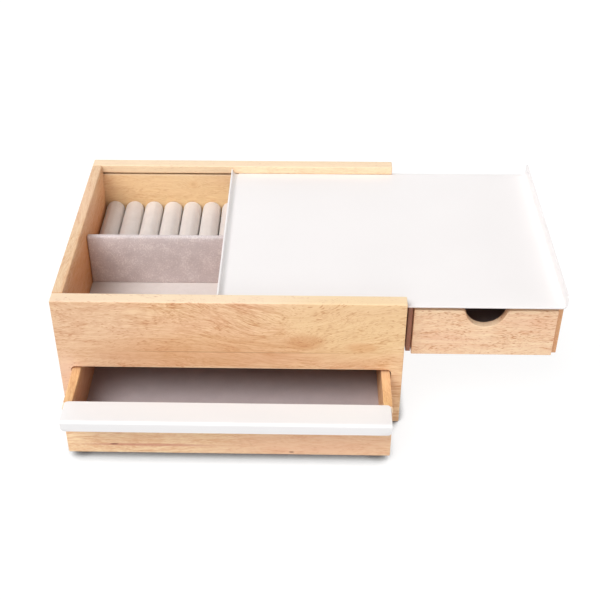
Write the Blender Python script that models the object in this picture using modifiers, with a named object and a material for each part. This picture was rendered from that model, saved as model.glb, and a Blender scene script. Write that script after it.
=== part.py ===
"""Tiered jewelry box: a wooden case with a ring cushion, a sheet metal lid that slides to the right
and carries a small tray under it, and a lower drawer with a bent metal pull.

Frame: metres, +Z up, origin at the centre of the case's underside, front towards -Y.
At rest the lid is open, the tray is pushed in under the lid and the drawer is partly drawn out.
"""

import bpy
import bmesh
from math import asin, cos, degrees, pi, radians, sin
from mathutils import Vector

# Clearances shared by all pieces
FIT = 0.0003
CUT_OVERRUN = 0.0020
ARRIS = 0.0008
THIN_ARRIS = 0.0004
LINER_ARRIS = 0.0002
ARRIS_STEPS = 2
ARRIS_ANGLE = 40
ARC_STEPS = 6
ROUND_PROFILE = 0.5
MERGE_DISTANCE = 0.00004
FLAT_ANGLE = 1

# Case
CASE_WIDTH = 0.2600
CASE_DEPTH = 0.2068
CASE_HEIGHT = 0.1146
FACE_BOARD = 0.0104
SIDE_BOARD = 0.0082
BOTTOM_BOARD = 0.0055
SHELF_BOARD = 0.0026
DADO_DEPTH = 0.0030
LEG_WIDTH = 0.0087
OPENING_RADIUS = 0.0032

# Lid and the groove that it runs in
LID_SHEET = 0.0012
LID_DROP = 0.0073
LID_OVERHANG = 0.0045
LID_END_GAP = 0.0008
LID_SIDE_GAP = 0.0004
GROOVE_DEPTH = 0.0028
LEFT_CURL_HEIGHT = 0.0048
LEFT_CURL_RADIUS = 0.0038
LEFT_CURL_GAP = 0.0006
LEFT_NOTCH = 0.0010
RIGHT_PULL_HEIGHT = 0.0101
RIGHT_PULL_RADIUS = 0.0020
LID_CORNER_RADIUS = 0.0016

# Carrier under the lid, which holds the tray
HANGER_BOARD = 0.0036
HANGER_INSET = 0.0005
HANGER_SETBACK = 0.0036
HANGER_BAY_GAP = 0.0013
HANGER_OPEN_CLEARANCE = 0.0023
CARRIER_BOARD = 0.0026
RUNNER_WIDTH = 0.0026
RUNNER_HEIGHT = 0.0032
RUNNER_END_GAP = 0.0005

# Tray
TRAY_WALL = 0.0063
TRAY_DROP = 0.0045
TRAY_SHELF_GAP = 0.0064
TRAY_BACK_ROOM = 0.0100
TRAY_SETBACK = 0.0004
TRAY_SIDE_GAP = 0.0005
TRAY_SILL_GAP = 0.0008
RUNNER_GROOVE_DEPTH = 0.0028
SCOOP_HALF_WIDTH = 0.0190
SCOOP_DEPTH = 0.0150
SCOOP_SHOULDER_RADIUS = 0.0045
SCOOP_STEPS = 14

# Lower drawer
DRAWER_BACK_GAP = 0.0044
DRAWER_HEIGHT = 0.0445
DRAWER_WALL = 0.0066
DRAWER_SIDE_GAP = 0.0008
DRAWER_FLOOR_GAP = 0.0006
DRAWER_HEADROOM = 0.0005
DRAWER_DRAWN_OUT = 0.0440

# Bottom panels and liners of the tray and the drawer
PANEL_BOARD = 0.0030
PANEL_RISE = 0.0045
PANEL_GROOVE = 0.0025
LINER_SHEET = 0.0012

# Bent metal pull on the drawer
PULL_END_INSET = 0.0015
PULL_SHEET = 0.0013
PULL_DEPTH = 0.0220
PULL_LIP_HEIGHT = 0.0093
PULL_BEND_RADIUS = 0.0016
PULL_CORNER_RADIUS = 0.0030
PULL_REAR_INSET = 0.0056
PULL_HEADROOM = 0.0008

# Ring compartment
ROLL_COUNT = 8
ROLL_PITCH = 0.0171
ROLL_GAP = 0.0014
ROLL_END_ROUND = 0.0016
ROLL_END_STEPS = 3
ROLL_SIDES = 28
FLOOR_LINER = 0.0008
DIVIDER_BOARD = 0.0046
DIVIDER_DROP = 0.0136
DIVIDER_ROUND = 0.0012
PARTITION_BOARD = 0.0040
FRONT_BAY_DEPTH = 0.0946
CUSHION_BASE = 0.0085
CUSHION_BASE_ROUND = 0.0010

# Places worked out from the sizes above
HALF_WIDTH = CASE_WIDTH / 2
HALF_DEPTH = CASE_DEPTH / 2
INNER_X = HALF_WIDTH - SIDE_BOARD
INNER_Y = HALF_DEPTH - FACE_BOARD

DRAWER_Z = (BOTTOM_BOARD + DRAWER_FLOOR_GAP, BOTTOM_BOARD + DRAWER_FLOOR_GAP + DRAWER_HEIGHT)
SHELF_Z = (DRAWER_Z[1] + DRAWER_HEADROOM, DRAWER_Z[1] + DRAWER_HEADROOM + SHELF_BOARD)
OPENING_HALF = HALF_WIDTH - LEG_WIDTH
OPENING_TOP = DRAWER_Z[1] + FIT + PULL_SHEET + PULL_HEADROOM
DRAWER_HALF = OPENING_HALF - DRAWER_SIDE_GAP
DRAWER_Y = (-HALF_DEPTH - DRAWER_DRAWN_OUT, INNER_Y - DRAWER_BACK_GAP - DRAWER_DRAWN_OUT)

FLOOR_TOP = SHELF_Z[1] + FIT + FLOOR_LINER
BAY_X = (-INNER_X, -INNER_X + ROLL_COUNT * ROLL_PITCH)
DIVIDER_Y = (-INNER_Y + FRONT_BAY_DEPTH, -INNER_Y + FRONT_BAY_DEPTH + DIVIDER_BOARD)
DIVIDER_TOP = CASE_HEIGHT - DIVIDER_DROP
PARTITION_X = (BAY_X[1], BAY_X[1] + PARTITION_BOARD)

# The lid opens until its left hanger is clear of the case's right side
CLOSED_HANGER_X = PARTITION_X[1] + HANGER_BAY_GAP
LID_TRAVEL = HALF_WIDTH + HANGER_OPEN_CLEARANCE - CLOSED_HANGER_X
LID_TOP = CASE_HEIGHT - LID_DROP
LID_UNDERSIDE = LID_TOP - LID_SHEET
LID_LEFT = -INNER_X + LID_END_GAP + LID_TRAVEL
LID_RIGHT = HALF_WIDTH + LID_OVERHANG + LID_TRAVEL
LID_HALF = INNER_Y + GROOVE_DEPTH - LID_SIDE_GAP

TRAY_Z = (SHELF_Z[1] + TRAY_SHELF_GAP, LID_UNDERSIDE - TRAY_DROP)
HANGER_Z = (TRAY_Z[0], LID_UNDERSIDE - FIT)
HANGER_HALF = INNER_Y - HANGER_SETBACK
LEFT_HANGER_X = (CLOSED_HANGER_X + LID_TRAVEL, CLOSED_HANGER_X + LID_TRAVEL + HANGER_BOARD)
RIGHT_HANGER_X = (LID_RIGHT - HANGER_INSET - HANGER_BOARD, LID_RIGHT - HANGER_INSET)
TRAY_X = (LEFT_HANGER_X[1] + TRAY_SIDE_GAP, RIGHT_HANGER_X[0] - TRAY_SIDE_GAP)
TRAY_Y = (-INNER_Y + TRAY_SETBACK, HANGER_HALF - TRAY_BACK_ROOM)
RIGHT_BOARD_TOP = TRAY_Z[0] - TRAY_SILL_GAP

# Colours, roughness and metallic value of each material
LOOKS = {
    "case_wood": ((0.76, 0.54, 0.32), 0.55, 0.0),
    "tray_wood": ((0.80, 0.60, 0.40), 0.60, 0.0),
    "panel_wood": ((0.66, 0.47, 0.29), 0.65, 0.0),
    "white_paint": ((0.90, 0.88, 0.87), 0.38, 0.0),
    "ring_fabric": ((0.72, 0.64, 0.60), 0.95, 0.0),
    "liner_fabric": ((0.40, 0.33, 0.32), 0.95, 0.0),
}


def clear_scene():
    """Remove every object, so that the model stands alone."""
    for item in list(bpy.data.objects):
        bpy.data.objects.remove(item, do_unlink=True)


def collection(name):
    """A new collection linked to the scene."""
    group = bpy.data.collections.new(name)
    bpy.context.scene.collection.children.link(group)
    return group


def material(name):
    """A Principled material with the look of that name."""
    colour, roughness, metallic = LOOKS[name]
    look = bpy.data.materials.new(name)
    look.use_nodes = True
    shader = look.node_tree.nodes["Principled BSDF"]
    shader.inputs["Base Color"].default_value = (*colour, 1.0)
    shader.inputs["Roughness"].default_value = roughness
    shader.inputs["Metallic"].default_value = metallic
    look.diffuse_color = (*colour, 1.0)
    return look


def grown(span, margin):
    """The span made longer by the margin at both ends."""
    return span[0] - margin, span[1] + margin


def middle(x, y, z):
    """The centre of a box given by its three spans."""
    return Vector((sum(x) / 2, sum(y) / 2, sum(z) / 2))


def world_place(item):
    """The world position of an unturned object, through its parents."""
    place = item.location.copy()
    while item.parent:
        item = item.parent
        place += item.location
    return place


def slide_origin(name, place, parent=None):
    """An empty that stands for one sliding body."""
    empty = bpy.data.objects.new(name, None)
    PARTS.objects.link(empty)
    empty.parent = parent
    empty.location = place - (world_place(parent) if parent else Vector())
    return empty


def add_piece(name, mesh, place, look, parent):
    """A finished piece in the parts collection, placed in the world."""
    piece = bpy.data.objects.new(name, mesh)
    PARTS.objects.link(piece)
    piece.parent = parent
    piece.location = place - (world_place(parent) if parent else Vector())
    mesh.materials.append(MATERIALS[look])
    return piece


def box_mesh(name, x, y, z):
    """A box mesh centred on its own origin."""
    mesh = bpy.data.meshes.new(name)
    shape = bmesh.new()
    bmesh.ops.create_cube(shape, size=1)
    size = Vector((x[1] - x[0], y[1] - y[0], z[1] - z[0]))
    bmesh.ops.scale(shape, vec=size, verts=shape.verts)
    shape.to_mesh(mesh)
    shape.free()
    return mesh


def ease_edges(piece, width, segments=ARRIS_STEPS):
    """Round the sharp edges of a piece."""
    bevel = piece.modifiers.new("eased edges", "BEVEL")
    bevel.width = width
    bevel.segments = segments
    bevel.limit_method = "ANGLE"
    bevel.angle_limit = radians(ARRIS_ANGLE)


def cut(piece, cutter):
    """Take the cutter's volume out of the piece."""
    boolean = piece.modifiers.new(cutter.name, "BOOLEAN")
    boolean.operation = "DIFFERENCE"
    boolean.solver = "EXACT"
    boolean.object = cutter


def board(name, x, y, z, look, parent=None, arris=ARRIS):
    """A board between three spans, with eased edges."""
    piece = add_piece(name, box_mesh(name, x, y, z), middle(x, y, z), look, parent)
    ease_edges(piece, arris)
    return piece


def add_cutter(name, mesh, place):
    """An unseen object that Booleans take away."""
    cutter = bpy.data.objects.new(name, mesh)
    CUTTERS.objects.link(cutter)
    cutter.location = place
    cutter.hide_render = True
    cutter.display_type = "WIRE"
    return cutter


def box_cutter(name, x, y, z):
    """A box shaped cutter between three spans."""
    return add_cutter(name, box_mesh(name, x, y, z), middle(x, y, z))


def arch_cutter(name, x, y, z, radius):
    """A box cutter whose two upper edges along Y are rounded."""
    cutter = box_cutter(name, x, y, z)
    shape = bmesh.new()
    shape.from_mesh(cutter.data)
    upper = [edge for edge in shape.edges
             if all(vert.co.z > 0 for vert in edge.verts)
             and abs(edge.verts[0].co.x - edge.verts[1].co.x) < FIT]
    bmesh.ops.bevel(shape, geom=upper, offset=radius, segments=ARC_STEPS, profile=ROUND_PROFILE,
                    affect="EDGES")
    shape.to_mesh(cutter.data)
    shape.free()
    return cutter


def arc(centre, radius, start, end, steps=ARC_STEPS):
    """Points on an arc between two angles in degrees."""
    turns = [radians(start + (end - start) * step / steps) for step in range(steps + 1)]
    return [(centre[0] + radius * cos(turn), centre[1] + radius * sin(turn)) for turn in turns]


def outline_board(name, points, thickness, place, look, parent):
    """A board cut to an outline that stands in the XZ plane, centred on its thickness."""
    curve = bpy.data.curves.new(name, "CURVE")
    curve.dimensions = "2D"
    curve.fill_mode = "BOTH"
    curve.extrude = thickness / 2
    line = curve.splines.new("POLY")
    line.points.add(len(points) - 1)
    for point, (across, up) in zip(line.points, points):
        point.co = (across, up, 0, 1)
    line.use_cyclic_u = True
    source = bpy.data.objects.new(name + " outline", curve)
    PARTS.objects.link(source)
    source.rotation_euler.x = pi / 2
    bpy.context.view_layer.update()
    graph = bpy.context.evaluated_depsgraph_get()
    mesh = bpy.data.meshes.new_from_object(source.evaluated_get(graph))
    mesh.transform(source.matrix_world)
    bpy.data.objects.remove(source, do_unlink=True)
    shape = bmesh.new()
    shape.from_mesh(mesh)
    bmesh.ops.remove_doubles(shape, verts=shape.verts, dist=MERGE_DISTANCE)
    bmesh.ops.dissolve_limit(shape, angle_limit=radians(FLAT_ANGLE), verts=shape.verts,
                             edges=shape.edges)
    shape.to_mesh(mesh)
    shape.free()
    mesh.name = name
    mesh.materials.clear()
    return add_piece(name, mesh, place, look, parent)


def bent_sheet(name, profile, span, along_x, thickness, corner, round_start, look, parent):
    """Sheet metal: an open profile drawn out sideways, its free corners rounded, then thickened.

    The profile runs on the sheet's outer face, as pairs of a place across and a height. The sheet's
    inner side is on the profile's left when it is drawn out along Y, and on its right along X.
    """
    def point(across, up, along):
        return (along, across, up) if along_x else (across, along, up)

    mesh = bpy.data.meshes.new(name)
    shape = bmesh.new()
    row = [shape.verts.new(point(across, up, span[0])) for across, up in profile]
    edges = [shape.edges.new(pair) for pair in zip(row, row[1:])]
    drawn = bmesh.ops.extrude_edge_only(shape, edges=edges)["geom"]
    far_row = [item for item in drawn if isinstance(item, bmesh.types.BMVert)]
    reach = Vector(point(0, 0, span[1])) - Vector(point(0, 0, span[0]))
    bmesh.ops.translate(shape, vec=reach, verts=far_row)
    rounded = [profile[0], profile[-1]] if round_start else [profile[-1]]
    ends = [Vector(point(*place, along)) for place in rounded for along in span]
    corners = [min(shape.verts, key=lambda vert: (vert.co - end).length) for end in ends]
    bmesh.ops.bevel(shape, geom=corners, offset=corner, segments=ARC_STEPS, profile=ROUND_PROFILE,
                    affect="VERTICES")
    shape.to_mesh(mesh)
    shape.free()
    piece = add_piece(name, mesh, Vector(), look, parent)
    solid = piece.modifiers.new("sheet", "SOLIDIFY")
    solid.thickness = thickness
    solid.offset = -1
    solid.use_even_offset = True
    return piece


def make_case():
    """Four boards, a bottom and a shelf, with the grooves and dados that join them."""
    full_x = (-HALF_WIDTH, HALF_WIDTH)
    full_z = (0, CASE_HEIGHT)
    front = board("case_front", full_x, (-HALF_DEPTH, -INNER_Y), full_z, "case_wood")
    rear = board("case_rear", full_x, (INNER_Y, HALF_DEPTH), full_z, "case_wood")
    between = (-INNER_Y + FIT, INNER_Y - FIT)
    left = board("case_left", (-HALF_WIDTH, -INNER_X), between, full_z, "case_wood")
    right = board("case_right_lower", (INNER_X, HALF_WIDTH), between, (0, RIGHT_BOARD_TOP), "case_wood")
    inside_x = (-INNER_X + FIT, INNER_X - FIT)
    board("case_bottom", inside_x, between, (0, BOTTOM_BOARD), "panel_wood", arris=THIN_ARRIS)

    opening = arch_cutter("drawer opening", (-OPENING_HALF, OPENING_HALF),
                          (-HALF_DEPTH - CUT_OVERRUN, -INNER_Y + CUT_OVERRUN),
                          (-CUT_OVERRUN, OPENING_TOP), OPENING_RADIUS)
    cut(front, opening)

    groove = box_cutter("lid groove", (-INNER_X, HALF_WIDTH + CUT_OVERRUN),
                        grown((-INNER_Y, INNER_Y), GROOVE_DEPTH), grown((LID_UNDERSIDE, LID_TOP), FIT))
    cut(front, groove)
    cut(rear, groove)

    shelf_x = grown((-INNER_X, INNER_X), DADO_DEPTH - FIT)
    shelf_y = grown((-INNER_Y, INNER_Y), DADO_DEPTH - FIT)
    board("case_shelf", shelf_x, shelf_y, SHELF_Z, "panel_wood", arris=THIN_ARRIS)
    dado = box_cutter("shelf dado", grown(shelf_x, FIT), grown(shelf_y, FIT), grown(SHELF_Z, FIT))
    for wall in (front, rear, left, right):
        cut(wall, dado)

    partition_y = grown((-INNER_Y, INNER_Y), DADO_DEPTH - FIT)
    partition_z = (SHELF_Z[1] + FIT, DIVIDER_TOP)
    partition_x = grown(PARTITION_X, -FIT)
    board("compartment_partition", partition_x, partition_y, partition_z, "panel_wood",
          arris=THIN_ARRIS)
    slot = box_cutter("partition dado", PARTITION_X, grown(partition_y, FIT),
                      (SHELF_Z[1] - FIT, DIVIDER_TOP + FIT))
    cut(front, slot)
    cut(rear, slot)


def make_ring_compartment():
    """Lined floor, fabric covered divider, and the cushion of ring rolls behind it."""
    bay_x = grown(BAY_X, -FIT)
    floor_y = grown((-INNER_Y, INNER_Y), -FIT)
    board("compartment_liner", bay_x, floor_y, (SHELF_Z[1] + FIT, FLOOR_TOP), "ring_fabric",
          arris=LINER_ARRIS)
    divider_z = (FLOOR_TOP + FIT, DIVIDER_TOP)
    board("ring_divider", bay_x, DIVIDER_Y, divider_z, "ring_fabric", arris=DIVIDER_ROUND)

    radius = (ROLL_PITCH - ROLL_GAP) / 2
    cushion_y = (DIVIDER_Y[1] + FIT, INNER_Y - FIT)
    base_z = (FLOOR_TOP + FIT, FLOOR_TOP + FIT + CUSHION_BASE)
    height = base_z[1] + FIT + radius
    board("ring_cushion_base", bay_x, cushion_y, base_z, "ring_fabric", arris=CUSHION_BASE_ROUND)

    for index in range(ROLL_COUNT):
        name = f"ring_roll_{index + 1}"
        mesh = bpy.data.meshes.new(name)
        shape = bmesh.new()
        bmesh.ops.create_cone(shape, cap_ends=True, segments=ROLL_SIDES, radius1=radius,
                              radius2=radius, depth=cushion_y[1] - cushion_y[0])
        shape.to_mesh(mesh)
        shape.free()
        place = Vector((BAY_X[0] + (index + 0.5) * ROLL_PITCH, sum(cushion_y) / 2, height))
        roll = add_piece(name, mesh, place, "ring_fabric", None)
        roll.rotation_euler.x = pi / 2
        ease_edges(roll, ROLL_END_ROUND, segments=ROLL_END_STEPS)
        mesh.shade_smooth()


def make_lid(parent):
    """One sheet: a low curl at the left end, a flat run in the grooves, a finger pull at the right."""
    left_radius = LEFT_CURL_RADIUS + LID_SHEET
    right_radius = RIGHT_PULL_RADIUS + LID_SHEET
    profile = [(LID_LEFT, LID_TOP + LEFT_CURL_HEIGHT)]
    profile += arc((LID_LEFT + left_radius, LID_UNDERSIDE + left_radius), left_radius, 180, 270)
    profile += arc((LID_RIGHT - right_radius, LID_UNDERSIDE + right_radius), right_radius, 270, 360)
    profile += [(LID_RIGHT, LID_TOP + RIGHT_PULL_HEIGHT)]
    lid = bent_sheet("lid_sheet", profile, (-LID_HALF, LID_HALF), False, LID_SHEET,
                     LID_CORNER_RADIUS, False, "white_paint", parent)

    curl_half = INNER_Y - LEFT_CURL_GAP
    notch_x = (LID_LEFT - CUT_OVERRUN, LID_LEFT + left_radius + LEFT_NOTCH)
    notch_z = (LID_UNDERSIDE - CUT_OVERRUN, LID_TOP + LEFT_CURL_HEIGHT + CUT_OVERRUN)
    for side, label in ((-1, "front"), (1, "rear")):
        notch_y = sorted((side * curl_half, side * (LID_HALF + CUT_OVERRUN)))
        cut(lid, box_cutter(f"lid notch {label}", notch_x, notch_y, notch_z))


def make_carrier(parent):
    """The boards under the lid that hold the tray, with the two runners it slides on."""
    hanger_y = (-HANGER_HALF, HANGER_HALF)
    board("hanger_left", LEFT_HANGER_X, hanger_y, HANGER_Z, "tray_wood", parent, THIN_ARRIS)
    board("hanger_right", RIGHT_HANGER_X, hanger_y, HANGER_Z, "tray_wood", parent, THIN_ARRIS)
    inside_x = (LEFT_HANGER_X[1] + FIT, RIGHT_HANGER_X[0] - FIT)
    top_z = (HANGER_Z[1] - CARRIER_BOARD, HANGER_Z[1])
    board("carrier_top", inside_x, hanger_y, top_z, "panel_wood", parent, THIN_ARRIS)
    back_y = (TRAY_Y[1] + FIT, TRAY_Y[1] + FIT + CARRIER_BOARD)
    board("carrier_back", inside_x, back_y, (HANGER_Z[0], top_z[0] - FIT), "panel_wood", parent,
          THIN_ARRIS)

    runner_y = (TRAY_Y[0] + TRAY_WALL + RUNNER_END_GAP, TRAY_Y[1] - RUNNER_END_GAP)
    runner_z = (sum(TRAY_Z) / 2 - RUNNER_HEIGHT / 2, sum(TRAY_Z) / 2 + RUNNER_HEIGHT / 2)
    left_x = (LEFT_HANGER_X[1] + FIT, LEFT_HANGER_X[1] + FIT + RUNNER_WIDTH)
    right_x = (RIGHT_HANGER_X[0] - FIT - RUNNER_WIDTH, RIGHT_HANGER_X[0] - FIT)
    board("tray_runner_left", left_x, runner_y, runner_z, "tray_wood", parent, THIN_ARRIS)
    board("tray_runner_right", right_x, runner_y, runner_z, "tray_wood", parent, THIN_ARRIS)
    return runner_z


def make_walls(prefix, x, y, z, wall, front, look, parent):
    """Sides, back, bottom panel and liner of an open box whose front board is already made."""
    side_y = (y[0] + wall + FIT, y[1])
    left = board(prefix + "_left", (x[0], x[0] + wall), side_y, z, look, parent, THIN_ARRIS)
    right = board(prefix + "_right", (x[1] - wall, x[1]), side_y, z, look, parent, THIN_ARRIS)
    inside_x = grown(x, -wall)
    inside_y = grown(y, -wall)
    back = board(prefix + "_back", grown(inside_x, -FIT), (inside_y[1], y[1]), z, look, parent,
                 THIN_ARRIS)
    panel_x = grown(inside_x, PANEL_GROOVE - FIT)
    panel_y = grown(inside_y, PANEL_GROOVE - FIT)
    panel_z = (z[0] + PANEL_RISE, z[0] + PANEL_RISE + PANEL_BOARD)
    board(prefix + "_bottom", panel_x, panel_y, panel_z, "panel_wood", parent, THIN_ARRIS)
    groove = box_cutter(prefix + " panel groove", grown(panel_x, FIT), grown(panel_y, FIT),
                        grown(panel_z, FIT))
    for piece in (front, left, right, back):
        cut(piece, groove)
    liner_z = (panel_z[1] + FIT, panel_z[1] + FIT + LINER_SHEET)
    board(prefix + "_liner", grown(inside_x, -FIT), grown(inside_y, -FIT), liner_z, "liner_fabric",
          parent, THIN_ARRIS)
    return left, right


def scoop_outline(half_width, height):
    """Front board of the tray: a rectangle whose top edge dips in one smooth finger scoop.

    The bowl's radius follows from the scoop's half width and depth, so that it meets both rounded
    shoulders without a kink.
    """
    reach = (SCOOP_HALF_WIDTH ** 2 + SCOOP_DEPTH ** 2) / (2 * SCOOP_DEPTH)
    bowl_radius = reach - SCOOP_SHOULDER_RADIUS
    top = height / 2
    bowl_centre = (0, top - SCOOP_DEPTH + bowl_radius)
    shoulder_height = top - SCOOP_SHOULDER_RADIUS
    tilt = degrees(asin((shoulder_height - bowl_centre[1]) / reach))
    right_shoulder = arc((SCOOP_HALF_WIDTH, shoulder_height), SCOOP_SHOULDER_RADIUS, 90, 180 + tilt)
    bowl = arc(bowl_centre, bowl_radius, tilt, -180 - tilt, SCOOP_STEPS)
    left_shoulder = arc((-SCOOP_HALF_WIDTH, shoulder_height), SCOOP_SHOULDER_RADIUS, -tilt, 90)
    corners = [(-half_width, top), (-half_width, -top), (half_width, -top), (half_width, top)]
    return corners + right_shoulder + bowl[1:-1] + left_shoulder


def make_tray(parent, runner_z):
    """Small tray with a finger scoop in its front and a runner groove in each side."""
    front_y = (TRAY_Y[0], TRAY_Y[0] + TRAY_WALL)
    outline = scoop_outline((TRAY_X[1] - TRAY_X[0]) / 2, TRAY_Z[1] - TRAY_Z[0])
    front = outline_board("tray_front", outline, TRAY_WALL, middle(TRAY_X, front_y, TRAY_Z),
                          "tray_wood", parent)
    ease_edges(front, THIN_ARRIS)
    left, right = make_walls("tray", TRAY_X, TRAY_Y, TRAY_Z, TRAY_WALL, front, "tray_wood", parent)
    groove_y = (front_y[1] - CUT_OVERRUN, TRAY_Y[1] + CUT_OVERRUN)
    for piece, face, inward in ((left, TRAY_X[0], 1), (right, TRAY_X[1], -1)):
        groove_x = sorted((face - inward * CUT_OVERRUN, face + inward * RUNNER_GROOVE_DEPTH))
        cut(piece, box_cutter(piece.name + " runner groove", groove_x, groove_y,
                              grown(runner_z, FIT)))


def make_drawer(parent):
    """Lower drawer with its bent metal pull lying on the front board's top edge."""
    x = (-DRAWER_HALF, DRAWER_HALF)
    front = board("drawer_front", x, (DRAWER_Y[0], DRAWER_Y[0] + DRAWER_WALL), DRAWER_Z, "case_wood",
                  parent)
    make_walls("drawer", x, DRAWER_Y, DRAWER_Z, DRAWER_WALL, front, "case_wood", parent)

    underside = DRAWER_Z[1] + FIT
    top = underside + PULL_SHEET
    rear = DRAWER_Y[0] + PULL_REAR_INSET
    tip = rear - PULL_DEPTH
    outer_radius = PULL_BEND_RADIUS + PULL_SHEET
    profile = [(tip, top - PULL_LIP_HEIGHT)]
    profile += arc((tip + outer_radius, top - outer_radius), outer_radius, 180, 90)
    profile += [(rear, top)]
    bent_sheet("drawer_pull", profile, grown(x, -PULL_END_INSET), True, PULL_SHEET,
               PULL_CORNER_RADIUS, True, "white_paint", parent)


clear_scene()
PARTS = collection("tiered_jewelry_box")
CUTTERS = collection("cutters")
MATERIALS = {name: material(name) for name in LOOKS}
make_case()
make_ring_compartment()
lid_origin = slide_origin("lid_slide", Vector((sum((LID_LEFT, LID_RIGHT)) / 2, 0, LID_TOP)))
make_lid(lid_origin)
runner_span = make_carrier(lid_origin)
tray_origin = slide_origin("tray_slide", middle(TRAY_X, TRAY_Y, TRAY_Z), lid_origin)
make_tray(tray_origin, runner_span)
make_drawer(slide_origin("drawer_slide", middle((-DRAWER_HALF, DRAWER_HALF), DRAWER_Y, DRAWER_Z)))
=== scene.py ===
import math

import bpy
import numpy as np
from mathutils import Matrix, Vector


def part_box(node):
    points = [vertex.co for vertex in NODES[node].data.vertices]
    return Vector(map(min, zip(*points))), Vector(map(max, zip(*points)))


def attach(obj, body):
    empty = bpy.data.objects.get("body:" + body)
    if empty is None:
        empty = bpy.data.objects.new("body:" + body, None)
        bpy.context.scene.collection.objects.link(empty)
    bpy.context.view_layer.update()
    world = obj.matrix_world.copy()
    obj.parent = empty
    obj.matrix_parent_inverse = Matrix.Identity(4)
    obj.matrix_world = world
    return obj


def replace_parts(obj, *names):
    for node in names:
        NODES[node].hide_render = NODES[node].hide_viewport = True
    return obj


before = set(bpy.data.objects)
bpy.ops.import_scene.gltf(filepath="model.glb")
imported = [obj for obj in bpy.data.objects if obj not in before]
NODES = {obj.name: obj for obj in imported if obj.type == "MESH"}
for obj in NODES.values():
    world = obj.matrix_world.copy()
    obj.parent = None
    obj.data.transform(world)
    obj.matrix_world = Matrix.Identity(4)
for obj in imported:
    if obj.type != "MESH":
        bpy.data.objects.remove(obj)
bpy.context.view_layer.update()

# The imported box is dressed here: woods, powder coated sheet, velveteen and flocked linings.
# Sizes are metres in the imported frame: +X right, +Y back, +Z up, origin under the case's middle.
MM = 0.001

# Camera fitted to the straight edges of the case in a 600 x 600 picture: metres, degrees,
# millimetres of lens and sensor, and shifts in parts of the picture's width
CAMERA_PLACE = (0.056386, -0.724588, 0.585013)
CAMERA_PITCH, CAMERA_YAW, CAMERA_ROLL = 37.207, 1.613, -0.373
CAMERA_LENS, CAMERA_SENSOR = 64.87, 36.0
CAMERA_SHIFT = (0.0310, 0.00865)
CAMERA_CLIP = (0.05, 20)


def linear(code):
    """A colour given as sRGB hex, turned to the linear values that shaders take."""
    parts = np.array([int(code[at:at + 2], 16) for at in (1, 3, 5)]) / 255
    parts = np.where(parts <= 0.04045, parts / 12.92, ((parts + 0.055) / 1.055) ** 2.4)
    return (*parts.tolist(), 1.0)


def add(tree, kind, sockets=(), out=0, **settings):
    """One shader node with its settings and links, which gives back one of its outputs.

    Each socket is linked to another node's output or given a value. Sockets 0 to 4 of a MapRange are
    the value, its low and high ends, and the least and most that come out. Sockets 0, 6 and 7 of a
    colour Mix are its share and its two colours, and its output 2 is the mixed colour.
    """
    item = tree.nodes.new("ShaderNode" + kind)
    for key, value in settings.items():
        setattr(item, key, value)
    for key, value in dict(sockets).items():
        if isinstance(value, bpy.types.NodeSocket):
            tree.links.new(value, item.inputs[key])
        else:
            item.inputs[key].default_value = value
    return item.outputs[out] if item.outputs else item


def blank(name):
    """A new material and its emptied node tree."""
    look = bpy.data.materials.new(name)
    look.use_nodes = True
    look.node_tree.nodes.clear()
    return look, look.node_tree


SMOOTH = {"interpolation_type": "SMOOTHSTEP"}

# Rubberwood, planed, sanded and satin lacquered: light in tone, with faint rings, blotches and short open
# pores
WOOD_FACE = linear("#F4D1A6")
WOOD_RING = linear("#CC8F5C")
WOOD_BLUSH = linear("#E9B193")
# The colour of the painted highlight on faces that point up
WOOD_TOP_HIGHLIGHT = linear("#F8E0BF")
WOOD_PORE = linear("#B8642C")
LACQUER_IOR = 1.5
FIBRE_RELIEF = 0.04 * MM
# Bare millimetres; a pair is the width across the grain and the length along it. Real pores are about
# 0.2 mm wide and fibres finer still; both are drawn wider so that they show.
RING_SPACING = 3.4
SWAY, SWAY_REACH = (30, 95), 26
BLOTCH = (7, 26)
CLOUD = (30, 110)
FIBRE = (0.75, 9)
PORE = (0.50, 3.6)
# The way from the first stave of a glued board to the second, within the same block
STAVE_SHIFT = (170, 95, -260)


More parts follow.
